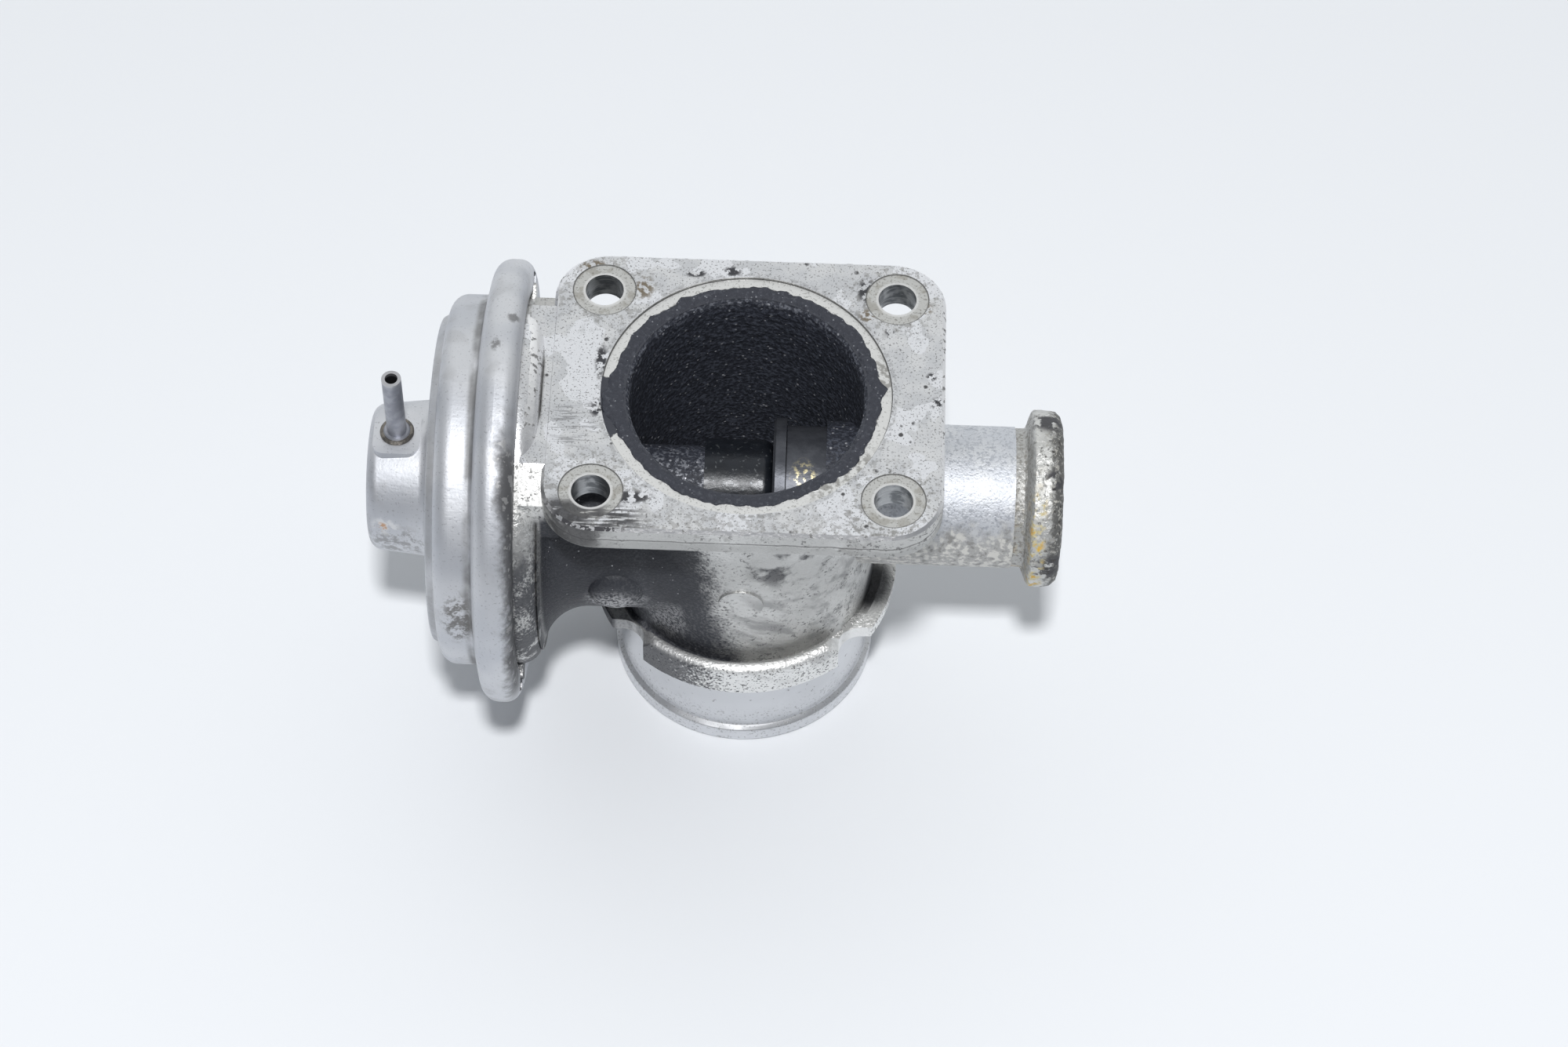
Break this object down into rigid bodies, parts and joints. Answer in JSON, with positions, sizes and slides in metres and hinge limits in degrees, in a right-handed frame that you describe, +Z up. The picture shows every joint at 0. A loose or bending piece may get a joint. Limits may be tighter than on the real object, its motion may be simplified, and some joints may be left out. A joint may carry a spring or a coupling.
{
  "type": "egr valve",
  "caption": "Cast exhaust gas recirculation valve: square bolt flange over a round duct and hose spigot, side exhaust inlet with clamp flange, and a vacuum diaphragm actuator.",
  "frame": {"origin": "centre of the hose spigot's end, on the duct's axis", "axes": "+Z up the duct to the square flange, +X to the exhaust inlet, -X to the vacuum actuator"},
  "size_m": [0.1429, 0.092, 0.101],
  "materials": {
    "cast_aluminium": "sand-grained casting, soot in the bore",
    "drawn_steel": "satin pressed and plated sheet",
    "inlet_steel": "turned steel, corroded",
    "valve_steel": "heat-resistant steel under soot",
    "bronze": "sintered bronze",
    "rubber": "matt moulded rubber",
    "braze": "dull braze"
  },
  "bodies": {
    "housing": {"valve_body": "cast_aluminium", "inlet_sleeve": "inlet_steel", "clamp_flange": "inlet_steel", "sleeve_weld": "inlet_steel", "seat_ring": "valve_steel", "stem_scraper": "bronze", "guide_bush": "bronze", "stem_seal": "rubber", "seal_retainer": "drawn_steel", "diaphragm": "rubber", "return_spring": "valve_steel", "actuator_cover": "drawn_steel", "vacuum_nipple": "drawn_steel", "nipple_braze": "braze"},
    "valve": {"valve_stem": "valve_steel", "poppet": "valve_steel", "stem_shield": "valve_steel", "diaphragm_plate": "drawn_steel", "spring_cup": "drawn_steel", "clamp_washer": "drawn_steel"}
  },
  "joints": [
    {"name": "valve_lift", "type": "slide", "parent": "housing", "child": "valve", "axis": [-1, 0, 0], "range_m": [0, 0.007], "stiffness_N_per_m": 4600, "springref_m": -0.011, "deforming": ["diaphragm", "return_spring"]}
  ]
}
